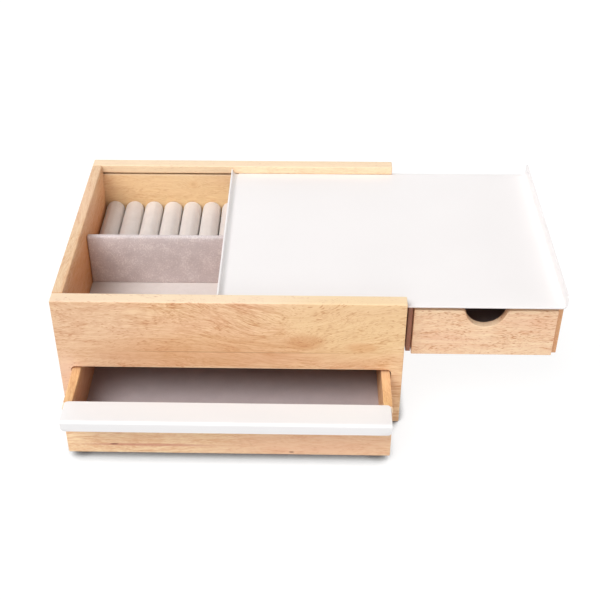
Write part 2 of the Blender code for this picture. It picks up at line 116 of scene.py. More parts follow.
def rubberwood(name, along_y, start, face=WOOD_FACE, ring=WOOD_RING, top_highlight_share=0.9, pores=0.2, figure=1.0,
               bends=(), marks=(), seam=None):
    """Lacquered rubberwood cut from one solid block, so that faces, edges and ends agree.

    Distances are millimetres from the pith line, which runs along the grain at `start`. A point's
    ring is its distance from that line, bent by slow noise and divided by the ring spacing. Pores and
    fibres are noise stretched along the grain, which turns to dots on the end grain. Faces that point
    up get a painted highlight, mixed towards a paler colour by a share given for each board, and end
    grain drinks more lacquer and is darker. `bends` lists where the grain dips: centre and half sizes
    in metres, depth in millimetres. `marks` lists tinted spots and lines, some of them painted shade,
    highlight or bounce light, which end grain doesn't take: centre, half sizes, colour and share.
    Under the height `seam` the board is a second, plainer stave glued to the first.
    """
    look, tree = blank(name)
    place = add(tree, "TexCoord", out="Object")
    facing = add(tree, "SeparateXYZ", {0: place.node.outputs["Normal"]}).node.outputs
    block = add(tree, "Mapping", {"Vector": place, "Scale": (1 / MM,) * 3, "Location": start,
                                  "Rotation": (0, 0, -math.pi / 2 if along_y else 0)})

    def streaks(size, vector, detail, rough=0.5, out=0):
        """Patches of random value, stretched along the grain to the given width and length."""
        across, along = size
        scaled = add(tree, "Mapping", {"Vector": vector, "Scale": (1 / along, 1 / across, 1 / across)})
        return add(tree, "TexNoise", {"Vector": scaled, "Scale": 1.0, "Detail": detail,
                                      "Roughness": rough}, out)

    def near(centre, halves, core, share=1.0):
        """The share inside the core of an ellipsoid, falling to nothing at the ellipsoid."""
        shifted = add(tree, "Mapping", {"Vector": place, "Scale": [1 / half for half in halves],
                                        "Location": [-at / half for at, half in zip(centre, halves)]})
        away = add(tree, "VectorMath", {0: shifted}, "Value", operation="LENGTH")
        return add(tree, "MapRange", {0: away, 1: 1.0, 2: core, 3: 0.0, 4: share}, **SMOOTH)

    second = 0.0
    if seam:
        height = add(tree, "SeparateXYZ", {0: place}, "Z")
        second = add(tree, "Math", {0: height, 1: seam}, operation="LESS_THAN")
        block = add(tree, "VectorMath", {0: second, 1: STAVE_SHIFT, 2: block}, operation="MULTIPLY_ADD")
    sway = streaks(SWAY, block, 1.2, out="Color")
    bent = add(tree, "VectorMath", {0: sway, 1: (0, SWAY_REACH, SWAY_REACH), 2: block},
               operation="MULTIPLY_ADD")
    for centre, halves, dip in bends:
        bent = add(tree, "VectorMath", {0: near(centre, halves, 0.0), 1: (0, 0, dip), 2: bent},
                   operation="MULTIPLY_ADD")
    flat = add(tree, "VectorMath", {0: bent, 1: (0, 1, 1)}, operation="MULTIPLY")
    radius = add(tree, "VectorMath", {0: flat}, "Value", operation="LENGTH")
    count = add(tree, "Math", {0: radius, 1: 1 / RING_SPACING}, operation="MULTIPLY")
    grown = add(tree, "Math", {0: count}, operation="FRACT")
    late = add(tree, "Math", {0: grown, 1: 5.0}, operation="POWER")
    season = add(tree, "TexNoise", {"W": count, "Scale": 0.8, "Detail": 2.0}, noise_dimensions="1D")
    blotch = streaks(BLOTCH, bent, 4.0, 0.6)
    cloud = streaks(CLOUD, block, 2.0)
    fibre = streaks(FIBRE, bent, 3.0, 0.6)
    dash = streaks(PORE, bent, 0.0)

    # Each pattern moves the tone up and down about its own middle value
    tone = 0.40
    for value, share, middle in ((late, 0.22 * figure, 0.17), (season, 0.6 * figure, 0.5),
                                 (blotch, 1.3 * figure, 0.5), (fibre, 2.2, 0.5)):
        value = add(tree, "Math", {0: value, 1: middle}, operation="SUBTRACT")
        tone = add(tree, "Math", {0: value, 1: share, 2: tone}, operation="MULTIPLY_ADD")
    blush = add(tree, "MapRange", {0: cloud, 1: 0.40, 2: 0.70, 3: 0.0, 4: 0.35}, **SMOOTH)
    # Painted highlight: faces that point up are mixed towards a paler colour, by a share given for each
    # board
    painted_top_highlight = add(tree, "MapRange", {0: facing["Z"], 1: 0.2, 2: 0.75, 3: 0.0, 4: top_highlight_share}, **SMOOTH)
    lengthwise = add(tree, "Math", {0: facing["Y" if along_y else "X"]}, operation="ABSOLUTE")
    beside = add(tree, "MapRange", {0: lengthwise, 1: 0.9, 2: 0.6, 3: 0.0, 4: 1.0}, **SMOOTH)
    ends = add(tree, "MapRange", {0: beside, 1: 1.0, 2: 0.0, 3: 0.0, 4: 0.5}, **SMOOTH)

    # Pores crowd where the wood is blotched, and are few on faces that point up, under the painted
    # highlight, and on the second stave
    clear = add(tree, "Math", {0: 0.5, 1: blotch}, operation="SUBTRACT")
    least = add(tree, "Math", {0: clear, 1: 0.7, 2: 0.63}, operation="MULTIPLY_ADD")
    calm = add(tree, "Math", {0: second, 1: painted_top_highlight}, operation="MAXIMUM")
    least = add(tree, "Math", {0: calm, 1: 0.10, 2: least}, operation="MULTIPLY_ADD")
    over = add(tree, "Math", {0: dash, 1: least}, operation="SUBTRACT")
    pore = add(tree, "MapRange", {0: over, 1: 0.0, 2: 0.12, 3: 0.0, 4: pores}, **SMOOTH)

    tints = [(tone, ring), (blush, WOOD_BLUSH), (painted_top_highlight, WOOD_TOP_HIGHLIGHT), (ends, ring)]
    for centre, halves, tint, share in marks:
        within = add(tree, "Math", {0: near(centre, halves, 0.4, share), 1: beside}, operation="MULTIPLY")
        tints.append((within, linear(tint)))
    colour = face
    for share, tint in [*tints, (pore, WOOD_PORE)]:
        colour = add(tree, "Mix", {0: share, 6: colour, 7: tint}, 2, data_type="RGBA")

    rough = add(tree, "MapRange", {0: fibre, 1: 0.3, 2: 0.7, 3: 0.44, 4: 0.60}, **SMOOTH)
    relief = add(tree, "Math", {0: pore, 1: -0.4, 2: fibre}, operation="MULTIPLY_ADD")
    bump = add(tree, "Bump", {"Height": relief, "Strength": 0.25, "Distance": FIBRE_RELIEF})
    shader = add(tree, "BsdfPrincipled", {"Base Color": colour, "Roughness": rough, "Normal": bump,
                                          "IOR": LACQUER_IOR, "Coat Weight": 0.08,
                                          "Coat Roughness": 0.35})
    add(tree, "OutputMaterial", {"Surface": shader})
    return look


COAT_RIPPLE, COAT_CLOUD, COAT_RELIEF = 1.4 * MM, 60 * MM, 0.03 * MM
COAT_IOR = 1.5


def powder_coat(name, colour, shade):
    """White powder coat on steel sheet: satin, with the shallow ripple of baked powder."""
    look, tree = blank(name)
    place = add(tree, "TexCoord", out="Object")
    ripple = add(tree, "TexNoise", {"Vector": place, "Scale": 1 / COAT_RIPPLE, "Detail": 2.0})
    cloud = add(tree, "TexNoise", {"Vector": place, "Scale": 1 / COAT_CLOUD, "Detail": 1.0})
    tint = add(tree, "MapRange", {0: cloud, 1: 0.3, 2: 0.7, 3: 0.0, 4: 0.35})
    base = add(tree, "Mix", {0: tint, 6: linear(colour), 7: linear(shade)}, 2, data_type="RGBA")
    rough = add(tree, "MapRange", {0: ripple, 1: 0.3, 2: 0.7, 3: 0.36, 4: 0.44})
    bump = add(tree, "Bump", {"Height": ripple, "Strength": 0.25, "Distance": COAT_RELIEF})
    shader = add(tree, "BsdfPrincipled", {"Base Color": base, "Roughness": rough, "Normal": bump,
                                          "IOR": COAT_IOR})
    add(tree, "OutputMaterial", {"Surface": shader})
    return look


# Real tufts of velveteen are a few tenths of a millimetre wide and flock is finer still; both are
# drawn near 1 mm wide so that they show
PILE_HEIGHT = 0.25 * MM
RUFFLE_GLINT = linear("#FFF8F4")


def pile_cloth(name, pile, shade, nap_size, tuft_size, contrast, sheen, specks=0.0):
    """Short pile cloth: tufts that stand or lie, so that patches read lighter or darker.

    `nap_size` is the width in millimetres of a patch that lies one way, `tuft_size` that of a tuft.
    `specks` is the share of painted glints, where ruffled tufts catch the light within the patches
    that stand up. The sheen is the soft, whitish rim that pile has where it is seen from the side.
    """
    look, tree = blank(name)
    place = add(tree, "TexCoord", out="Object")
    nap = add(tree, "TexNoise", {"Vector": place, "Scale": 1 / (nap_size * MM), "Detail": 4.0,
                                 "Roughness": 0.6})
    tuft = add(tree, "TexNoise", {"Vector": place, "Scale": 1 / (tuft_size * MM), "Detail": 2.0})
    lie = add(tree, "MapRange", {0: nap, 1: 0.35, 2: 0.65, 3: 0.5 - contrast, 4: 0.5 + contrast})
    spread = add(tree, "Math", {0: tuft, 1: 0.5}, operation="SUBTRACT")
    tone = add(tree, "Math", {0: spread, 1: 4 * contrast, 2: lie}, operation="MULTIPLY_ADD")
    colour = add(tree, "Mix", {0: tone, 6: linear(shade), 7: linear(pile)}, 2, data_type="RGBA")
    if specks:
        # Painted glints: ruffled tufts are mixed towards near-white where they catch the light
        ruffle = add(tree, "Math", {0: nap, 1: 0.5, 2: tuft}, operation="MULTIPLY_ADD")
        lit = add(tree, "MapRange", {0: ruffle, 1: 0.82, 2: 0.90, 3: 0.0, 4: specks})
        colour = add(tree, "Mix", {0: lit, 6: colour, 7: RUFFLE_GLINT}, 2, data_type="RGBA")
    bump = add(tree, "Bump", {"Height": tuft, "Strength": 0.6, "Distance": PILE_HEIGHT})
    shader = add(tree, "BsdfPrincipled", {"Base Color": colour, "Roughness": 0.95, "Normal": bump,
                                          "Specular IOR Level": 0.2, "Sheen Weight": sheen,
                                          "Sheen Roughness": 0.45})
    add(tree, "OutputMaterial", {"Surface": shader})
    return look


def grid_faces(rows, columns, closed=False):
    """Corner numbers of a grid's faces; a closed grid joins its last column to its first."""
    index = np.arange(rows * columns).reshape(rows, columns)
    if closed:
        index = np.hstack([index, index[:, :1]])
    return np.stack([index[:-1, :-1], index[:-1, 1:], index[1:, 1:], index[1:, :-1]], -1).reshape(-1, 4)


def piece_of(name, points, faces, look, body):
    """A piece of the box from points and faces, riding on its body."""
    mesh = bpy.data.meshes.new(name)
    mesh.from_pydata(np.asarray(points, float).reshape(-1, 3).tolist(), [],
                     [list(map(int, face)) for face in faces])
    mesh.validate()
    mesh.materials.append(look)
    piece = bpy.data.objects.new(name, mesh)
    bpy.context.scene.collection.objects.link(piece)
    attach(piece, body)
    return piece


# Angles above which an edge stays sharp, in degrees
SHEET_SHARP, PAD_SHARP, LINING_SHARP = 35, 80, 60


def settle(piece, sharp):
    """Bake the piece's modifiers into its mesh, and keep edges sharp above an angle in degrees."""
    graph = bpy.context.evaluated_depsgraph_get()
    mesh = bpy.data.meshes.new_from_object(piece.evaluated_get(graph))
    piece.modifiers.clear()
    old, piece.data = piece.data, mesh
    bpy.data.meshes.remove(old)
    mesh.shade_smooth()
    mesh.set_sharp_from_angle(angle=math.radians(sharp))
    return piece


BEND_PARTS, CORNER_ROWS = 12, 10


def bent_path(corners, radii, step):
    """Points along a line whose corners are rounded: runs cut in steps, arcs in BEND_PARTS.

    An arc starts and ends radius times tan(half the turn) from its corner.
    """
    corners = np.asarray(corners, float)
    runs = [corners[:1]]
    for before, corner, after, radius in zip(corners, corners[1:], corners[2:], radii):
        back, ahead = before - corner, after - corner
        back, ahead = back / np.linalg.norm(back), ahead / np.linalg.norm(ahead)
        half = math.acos(np.clip(back @ ahead, -1, 1)) / 2
        centre = corner + (back + ahead) / np.linalg.norm(back + ahead) * radius / math.sin(half)
        first, last = corner + back * radius / math.tan(half), corner + ahead * radius / math.tan(half)
        turn = np.linspace(0, 1, BEND_PARTS + 1)[:, None] * (math.pi - 2 * half)
        u = (first - centre) / radius
        v = (last - centre) / radius - u * math.cos(math.pi - 2 * half)
        v = v / np.linalg.norm(v)
        runs.append(centre + radius * (np.cos(turn) * u + np.sin(turn) * v))
    runs.append(corners[-1:])
    line = np.vstack(runs)
    lengths = np.linalg.norm(np.diff(line, axis=0), axis=1)
    parts = [line[:1]]
    for start, stop, length in zip(line, line[1:], lengths):
        count = max(1, int(round(length / step)))
        share = np.linspace(0, 1, count + 1)[1:, None]
        parts.append(start + (stop - start) * share)
    return np.vstack(parts)


def rounded_end(distance, radius):
    """How far a rounded corner pulls the edge in, at a distance from the end of the sheet."""
    reach = np.clip(radius - distance, 0, radius)
    return radius - np.sqrt(np.maximum(radius ** 2 - reach ** 2, 0))


def end_rows(line, radius):
    """The line with CORNER_ROWS more points at its start, so that a rounded corner there is smooth.

    They lie radius times (1 - cos) from the start, closest where the width changes fastest.
    """
    lead = line[1] - line[0]
    lead = lead / np.linalg.norm(lead)
    turn = np.linspace(0, math.pi / 2, CORNER_ROWS + 1)[:-1, None]
    extra = line[0] + lead * radius * (1 - np.cos(turn))
    far = line[np.linalg.norm(line - line[0], axis=1) > radius]
    return np.vstack([extra, line[0] + lead * radius, far])


# Lid: one sheet bent up at both ends
LID_LOW, LID_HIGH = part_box("lid_sheet")
LID_SHEET = 1.2 * MM
LID_FLOOR = 106.1 * MM
LID_CURL_TOP = 112.1 * MM
LID_CURL_RADIUS = 5.0 * MM
LID_PULL_RADIUS = 3.2 * MM
LID_CORNER = 1.6 * MM
LID_STEP, LID_COLUMNS = 9 * MM, 20
CURL_HALF = 92.4 * MM
CURL_NOTCH_END = -3.0 * MM
EDGE_ROUND, EDGE_ANGLE = 0.28 * MM, 55


def sheet_piece(name, points, faces, thickness, look, body):
    """A thin sheet thickened to its inner side, with its cut edges broken."""
    piece = piece_of(name, points, faces, look, body)
    solid = piece.modifiers.new("sheet", "SOLIDIFY")
    solid.thickness, solid.offset, solid.use_even_offset = thickness, -1, True
    bevel = piece.modifiers.new("broken edges", "BEVEL")
    bevel.width, bevel.segments, bevel.limit_method = EDGE_ROUND, 2, "ANGLE"
    bevel.angle_limit = math.radians(EDGE_ANGLE)
    return settle(piece, SHEET_SHARP)


def make_lid(look):
    """The lid's outer face: a bent profile times a width that follows the notches and corners.

    The outermost columns reach past the curl to the full width, and have no faces up to the notches'
    end.
    """
    corners = [(LID_LOW.x, LID_CURL_TOP), (LID_LOW.x, LID_FLOOR), (LID_HIGH.x, LID_FLOOR),
               (LID_HIGH.x, LID_HIGH.z)]
    line = bent_path(corners, (LID_CURL_RADIUS, LID_PULL_RADIUS), LID_STEP)
    line = end_rows(line[::-1], LID_CORNER)[::-1]
    line = np.insert(line, np.searchsorted(line[:, 0], CURL_NOTCH_END), (CURL_NOTCH_END, LID_FLOOR), 0)
    half = LID_HIGH.y - rounded_end(LID_HIGH.z - line[:, 1], LID_CORNER)
    half[line[:, 0] < LID_HIGH.x - LID_PULL_RADIUS] = LID_HIGH.y
    across = np.concatenate([[-1], np.linspace(-CURL_HALF, CURL_HALF, LID_COLUMNS), [1]])
    y = np.tile(across, (len(line), 1))
    y[:, 0], y[:, -1] = -half, half
    x, z = np.repeat(line[:, :1], y.shape[1], 1), np.repeat(line[:, 1:], y.shape[1], 1)
    points = np.stack([x, y, z], -1).reshape(-1, 3)
    faces = grid_faces(*y.shape)
    column = faces[:, 0] % y.shape[1]
    notched = points[faces[:, 3], 0] <= CURL_NOTCH_END + MM / 100
    outer = (column == 0) | (column == y.shape[1] - 2)
    faces = faces[~(notched & outer)]
    used = np.unique(faces)
    renumber = np.zeros(len(points), int)
    renumber[used] = np.arange(len(used))
    piece = sheet_piece("lid_white_sheet", points[used], renumber[faces], LID_SHEET, look, "lid")
    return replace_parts(piece, "lid_sheet")


# Drawer pull: a strip bent down over the drawer's front
PULL_LOW, PULL_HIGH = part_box("drawer_pull")
PULL_SHEET = 1.3 * MM
PULL_BEND = 2.2 * MM
PULL_CORNER = 3.0 * MM
PULL_STEP, PULL_COLUMNS = 3 * MM, 25


def make_pull(look):
    """The pull's outer face: lip, bend and flat top times a length that rounds off at the corners."""
    corners = [(PULL_LOW.y, PULL_LOW.z), (PULL_LOW.y, PULL_HIGH.z), (PULL_HIGH.y, PULL_HIGH.z)]
    line = bent_path(corners, (PULL_BEND,), PULL_STEP)
    line = end_rows(end_rows(line, PULL_CORNER)[::-1], PULL_CORNER)[::-1]
    half = PULL_HIGH.x - np.maximum(rounded_end(line[:, 1] - PULL_LOW.z, PULL_CORNER),
                                    rounded_end(PULL_HIGH.y - line[:, 0], PULL_CORNER))
    x = half[:, None] * np.linspace(-1, 1, PULL_COLUMNS)
    y, z = np.repeat(line[:, :1], PULL_COLUMNS, 1), np.repeat(line[:, 1:], PULL_COLUMNS, 1)
    points = np.stack([x, y, z], -1)
    piece = sheet_piece("drawer_white_pull", points, grid_faces(*x.shape), PULL_SHEET, look, "drawer")
    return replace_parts(piece, "drawer_pull")


def closed_rings(name, rings, look, body):
    """A closed skin through rings of points, with a pole at each end."""
    rows, columns = rings.shape[:2]
    points = np.vstack([rings.reshape(-1, 3), rings[0].mean(0), rings[-1].mean(0)])
    first = np.arange(columns)
    after = np.roll(first, -1)
    start, last = rows * columns, (rows - 1) * columns
    faces = [*grid_faces(rows, columns, True), *np.stack([first, np.full(columns, start), after], 1),
             *np.stack([last + after, np.full(columns, start + 1), last + first], 1)]
    return piece_of(name, points, faces, look, body)


def soft_noise(points, size, seed):
    """A smooth value from -1 to 1 at each point: the mean of three sine waves of that size.

    Their directions and phases are drawn from the seed.
    """
    draw = np.random.default_rng(seed)
    ways = draw.normal(size=(3, 3))
    ways /= np.linalg.norm(ways, axis=1)[:, None]
    return np.sin(points @ ways.T * 2 * math.pi / size + draw.uniform(0, 6.3, 3)).mean(-1)


# The cover's cloth: its pressure, how much larger than the roll it is sewn, how far a point may
# swell, and the frames that the simulation runs
COVER_PRESSURE, COVER_SURPLUS, COVER_SWELL, COVER_FRAMES = 4.0, 0.02, 0.9 * MM, 20


def inflate(piece, low, high):
    """Fill a sewn skin by cloth simulation, and keep every point near its start and in the box."""
    mesh = piece.data
    start = np.empty(len(mesh.vertices) * 3)
    mesh.vertices.foreach_get("co", start)
    start = start.reshape(-1, 3)
    cloth = piece.modifiers.new("air", "CLOTH")
    rules = cloth.settings
    rules.quality, rules.mass = 6, 0.15
    rules.tension_stiffness = rules.compression_stiffness = 18
    rules.shear_stiffness, rules.bending_stiffness = 8, 0.4
    rules.use_pressure, rules.uniform_pressure_force = True, COVER_PRESSURE
    rules.shrink_min = -COVER_SURPLUS
    rules.effector_weights.gravity = 0
    cloth.collision_settings.use_collision = False
    cloth.point_cache.frame_start, cloth.point_cache.frame_end = 1, COVER_FRAMES
    scene = bpy.context.scene
    for step in range(1, COVER_FRAMES + 1):
        scene.frame_set(step)
    filled = piece.evaluated_get(bpy.context.evaluated_depsgraph_get())
    blown = np.empty(len(start) * 3)
    filled.to_mesh().vertices.foreach_get("co", blown)
    filled.to_mesh_clear()
    piece.modifiers.remove(cloth)
    scene.frame_set(1)
    move = blown.reshape(-1, 3) - start
    far = np.linalg.norm(move, axis=1, keepdims=True)
    move *= np.minimum(1, COVER_SWELL / np.maximum(far, 1e-9))
    place = np.clip(start + move, low, high)
    mesh.vertices.foreach_set("co", place.ravel())
    mesh.update()


# Ring cushion: eight rolls side by side on a padded base
ROLL_AROUND, ROLL_ROWS, ROLL_END_ROWS = 48, 52, 6
ROLL_CAP = np.array([0.35, 0.7])
ROLL_END = 3.2 * MM
ROLL_SINK = 0.3 * MM
ROLL_TUCK = 0.62
# The cover's slow wave: its length, and its height in bare millimetres
ROLL_WAVE, ROLL_WAVE_HEIGHT = 17 * MM, 0.12


def make_roll(number, look):
    """One foam roll in its sewn cover.

    A ring is an ellipse above its widest line and a squarer curve below it, where the cover tucks in
    beside its neighbours. Along the roll the ring shrinks on a quarter circle to each flat end.
    """
    node = f"ring_roll_{number}"
    low, high = map(np.array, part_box(node))
    high[2] -= ROLL_SINK
    middle, half = (low + high) / 2, (high - low) / 2
    turn = np.linspace(0, 2 * math.pi, ROLL_AROUND, endpoint=False)
    power = np.where(np.cos(turn) > 0, 1.0, ROLL_TUCK)
    side = np.sign(np.sin(turn)) * np.abs(np.sin(turn)) ** power
    rise = np.sign(np.cos(turn)) * np.abs(np.cos(turn)) ** power
    quarter = np.linspace(0, math.pi / 2, ROLL_END_ROWS + 1)[:-1]
    body = np.linspace(-half[1] + ROLL_END, half[1] - ROLL_END, ROLL_ROWS)
    lead = -half[1] + ROLL_END * (1 - np.cos(quarter))
    along = np.concatenate([lead, body, -lead[::-1]])
    curve = ROLL_END * (1 - np.sin(quarter))
    inset = np.concatenate([curve, np.zeros(ROLL_ROWS), curve[::-1]])
    first = (half[0] - ROLL_END) / half[0]
    shares = np.concatenate([ROLL_CAP * first, (half[0] - inset) / half[0], ROLL_CAP[::-1] * first])
    along = np.concatenate([along[[0, 0]], along, along[[-1, -1]]])
    x = middle[0] + half[0] * side * shares[:, None]
    z = middle[2] + half[2] * rise * shares[:, None]
    y = np.repeat((middle[1] + along)[:, None], ROLL_AROUND, 1)
    rings = np.stack([x, y, z], -1)
    centre = np.array([middle[0], 0, middle[2]])
    outward = (rings - centre) * (1, 0, 1)
    outward /= np.maximum(np.linalg.norm(outward, axis=-1, keepdims=True), 1e-6)
    rings = rings + outward * (soft_noise(rings, ROLL_WAVE, number) * ROLL_WAVE_HEIGHT * MM)[..., None]
    piece = closed_rings(f"ring_roll_cover_{number}", rings, look, "case")
    inflate(piece, low, high)
    smooth = piece.modifiers.new("smooth cover", "SUBSURF")
    smooth.levels = smooth.render_levels = 1
    settle(piece, PAD_SHARP)
    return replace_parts(piece, node)


# Padded base and wrapped divider: parts of a rounded edge, length of the slow wave in the swell, edge
# radius and grid step of each, and the divider's swell
EDGE_PARTS = 5
PAD_WAVE = 30 * MM
BASE_EDGE, BASE_STEP = 1.6 * MM, 4 * MM
DIVIDER_EDGE, DIVIDER_STEP, DIVIDER_PUFF = 1.45 * MM, 3 * MM, 0.15 * MM


def soft_block(name, low, high, radius, step, puff, look, body, seed):
    """A padded block: a box whose edges are rounded by carrying each point out from an inner box.

    Each side is a grid. A point's place is the nearest point of the inner box plus the radius towards
    the point, and the broad faces swell by puff times a hill that is nil at the edges.
    """
    low, high = np.array(low, float), np.array(high, float)
    middle, half = (low + high) / 2, (high - low) / 2
    radius = min(radius, half.min() * 0.98)
    sides, faces, count = [], [], 0
    for axis in range(3):
        for sign in (-1, 1):
            lines = []
            for other in ((axis + 1) % 3, (axis + 2) % 3):
                inner = half[other] - radius
                arcs = radius * np.tan(np.linspace(0, math.pi / 4, EDGE_PARTS + 1))
                runs = np.linspace(-inner, inner, max(2, int(2 * inner / step)))
                lines.append(np.concatenate([-inner - arcs[:0:-1], runs, inner + arcs[1:]]))
            u, v = np.meshgrid(lines[0], lines[1], indexing="ij")
            side = np.zeros((*u.shape, 3))
            side[..., axis] = sign * half[axis]
            side[..., (axis + 1) % 3], side[..., (axis + 2) % 3] = u, v
            grid = grid_faces(*u.shape)
            faces.append(count + (grid if sign > 0 else grid[:, ::-1]))
            sides.append(side.reshape(-1, 3))
            count += u.size
    points = np.vstack(sides)
    core = np.clip(points, radius - half, half - radius)
    away = points - core
    away /= np.maximum(np.linalg.norm(away, axis=1, keepdims=True), 1e-9)
    hill = np.prod(np.maximum(1 - (points / half) ** 2, 0) ** 0.5 + (np.abs(away) > 0.99), axis=1)
    swell = np.minimum(hill, 1) * puff * (1 + 0.6 * soft_noise(points, PAD_WAVE, seed))
    points = middle + core + away * (radius + swell[:, None])
    piece = piece_of(name, points, np.vstack(faces), look, body)
    weld = piece.modifiers.new("join", "WELD")
    weld.merge_threshold = MM / 1000
    return settle(piece, PAD_SHARP)


# Linings: the grid's step, the slow wave's length, the band along the edge where it fades, and its
# height on each
LINING_STEP, LINING_WAVE, LINING_BAND = 3 * MM, 55 * MM, 12 * MM
SHELF_SWELL, TRAY_SWELL, DRAWER_SWELL = 0.15 * MM, 0.15 * MM, 0.2 * MM


def laid_cloth(name, node, look, body, wave, seed):
    """A lining cut to its floor and laid on it: a grid with a slow wave, its edges turned down."""
    low, high = map(np.array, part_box(node))
    thick = high[2] - low[2]
    counts = np.maximum(((high - low)[:2] / LINING_STEP).astype(int), 8)
    x, y = np.meshgrid(np.linspace(low[0], high[0], counts[0]), np.linspace(low[1], high[1], counts[1]),
                       indexing="ij")
    flat = np.stack([x, y, np.full(x.shape, high[2])], -1)
    edge = np.minimum(np.minimum(x - low[0], high[0] - x), np.minimum(y - low[1], high[1] - y))
    flat[..., 2] += wave * soft_noise(flat, LINING_WAVE, seed) * np.clip(edge / LINING_BAND, 0, 1)
    flat[..., 2] -= rounded_end(edge, 0.5 * thick)
    piece = piece_of(name, flat, grid_faces(*x.shape), look, body)
    solid = piece.modifiers.new("cloth", "SOLIDIFY")
    solid.thickness, solid.offset = thick * 0.9, -1
    settle(piece, LINING_SHARP)
    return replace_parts(piece, node)


def place_camera():
    """A camera that turns by yaw about Z, pitches down and rolls, as the fit gave."""
    pitch, yaw, roll = map(math.radians, (CAMERA_PITCH, CAMERA_YAW, CAMERA_ROLL))
    forward = np.array([-math.sin(yaw) * math.cos(pitch), math.cos(yaw) * math.cos(pitch),
                        -math.sin(pitch)])
    right = np.array([math.cos(yaw), math.sin(yaw), 0])
    up = np.cross(right, forward)
    right, up = (math.cos(roll) * right + math.sin(roll) * up,
                 -math.sin(roll) * right + math.cos(roll) * up)
    data = bpy.data.cameras.new("camera")
    data.lens, data.sensor_width = CAMERA_LENS, CAMERA_SENSOR
    data.shift_x, data.shift_y = CAMERA_SHIFT
    data.clip_start, data.clip_end = CAMERA_CLIP
    camera = bpy.data.objects.new("camera", data)
    bpy.context.scene.collection.objects.link(camera)
    turned = np.eye(4)
    turned[:3, 0], turned[:3, 1], turned[:3, 2], turned[:3, 3] = right, up, -forward, CAMERA_PLACE
    camera.matrix_world = Matrix(turned.tolist())
    bpy.context.scene.camera = camera


# Suns: the way to each, its strength and its angle in degrees
SUNS = {"key": ((-0.42, -0.40, 0.81), 2.35, 42), "front": ((-0.10, -0.97, 0.20), 0.78, 26),
        "right": ((0.94, -0.32, 0.12), 0.9, 30), "back": ((-0.35, 0.93, 0.12), 0.85, 40)}
SKY_STRENGTH = 0.36


def place_light():
    """Soft studio light: a broad key from high on the left, three low panels and an even white room."""
    scene = bpy.context.scene
    scene.view_settings.view_transform = "Standard"
    scene.world = bpy.data.worlds.new("studio")
    scene.world.use_nodes = True
    sky = scene.world.node_tree.nodes["Background"]
    sky.inputs["Color"].default_value = linear("#FFFFFF")
    sky.inputs["Strength"].default_value = SKY_STRENGTH
    for name, (way, strength, angle) in SUNS.items():
        data = bpy.data.lights.new(name, "SUN")
        data.energy, data.angle = strength, math.radians(angle)
        lamp = bpy.data.objects.new(name, data)
        scene.collection.objects.link(lamp)
        lamp.rotation_mode = "QUATERNION"
        lamp.rotation_quaternion = Vector(way).to_track_quat("Z", "Y")


# The floor: its flat radius and its bend's, its inner rings, its parts around and along the bend, and
# how close a thing has to be to darken it with painted contact shadow
FLOOR_FLAT, FLOOR_BEND = 3.0, 2.0
FLOOR_INNER = [0.3, 1.0]
FLOOR_AROUND, FLOOR_BEND_ROWS = 64, 12
FLOOR_SHADE_REACH = 14 * MM


def make_floor():
    """A round white table that curves up to a wall far off, part of the stage.

    Its skin turns one line about Z: a straight run, then a quarter circle. It glows like a lit table,
    and ambient occlusion dims the glow where something stands close over it, a painted contact shadow.
    The room's light passes through it.
    """
    bend = np.linspace(0, math.pi / 2, FLOOR_BEND_ROWS)
    out = np.concatenate([FLOOR_INNER, FLOOR_FLAT + FLOOR_BEND * np.sin(bend)])
    up = np.concatenate([np.zeros(len(FLOOR_INNER)), FLOOR_BEND * (1 - np.cos(bend))])
    turn = np.linspace(0, 2 * math.pi, FLOOR_AROUND, endpoint=False)[:, None]
    rings = np.stack([out * np.cos(turn), out * np.sin(turn), up + 0 * turn], -1)
    points = np.vstack([rings.reshape(-1, 3), [[0, 0, 0]]])
    inner = np.arange(FLOOR_AROUND) * len(out)
    hub = np.stack([inner, np.roll(inner, -1), np.full(FLOOR_AROUND, len(points) - 1)], 1)
    walls = grid_faces(FLOOR_AROUND + 1, len(out)) % (FLOOR_AROUND * len(out))
    mesh = bpy.data.meshes.new("floor")
    mesh.from_pydata(points.tolist(), [], [*walls[:, ::-1].tolist(), *hub.tolist()])
    floor = bpy.data.objects.new("floor", mesh)
    bpy.context.scene.collection.objects.link(floor)
    look, tree = blank("matt white table")
    # Painted contact shadow: the glow fades where ambient occlusion finds something close above
    free = add(tree, "AmbientOcclusion", {"Distance": FLOOR_SHADE_REACH}, "AO", samples=12)
    glow_with_painted_shadow = add(tree, "MapRange", {0: free, 1: 0.45, 2: 0.735, 3: 0.0, 4: 0.90})
    shader = add(tree, "BsdfPrincipled", {"Base Color": linear("#6E6E6E"), "Roughness": 0.9,
                                          "Specular IOR Level": 0.1, "Emission Color": linear("#FFFFFF"),
                                          "Emission Strength": glow_with_painted_shadow})
    add(tree, "OutputMaterial", {"Surface": shader})
    mesh.materials.append(look)
    floor.visible_diffuse = floor.visible_shadow = False


# Marks and tints seen on the boards, some of them painted light or shade as noted: centre, half sizes,
# colour and share. WIDE reaches past both ends.
# A bend of the grain has a centre, half sizes and a depth in bare millimetres.
WIDE = 9.0
FRONT_SEAM = 0.0685
KNOT = (-0.0435, 0.0932, 0.0958)
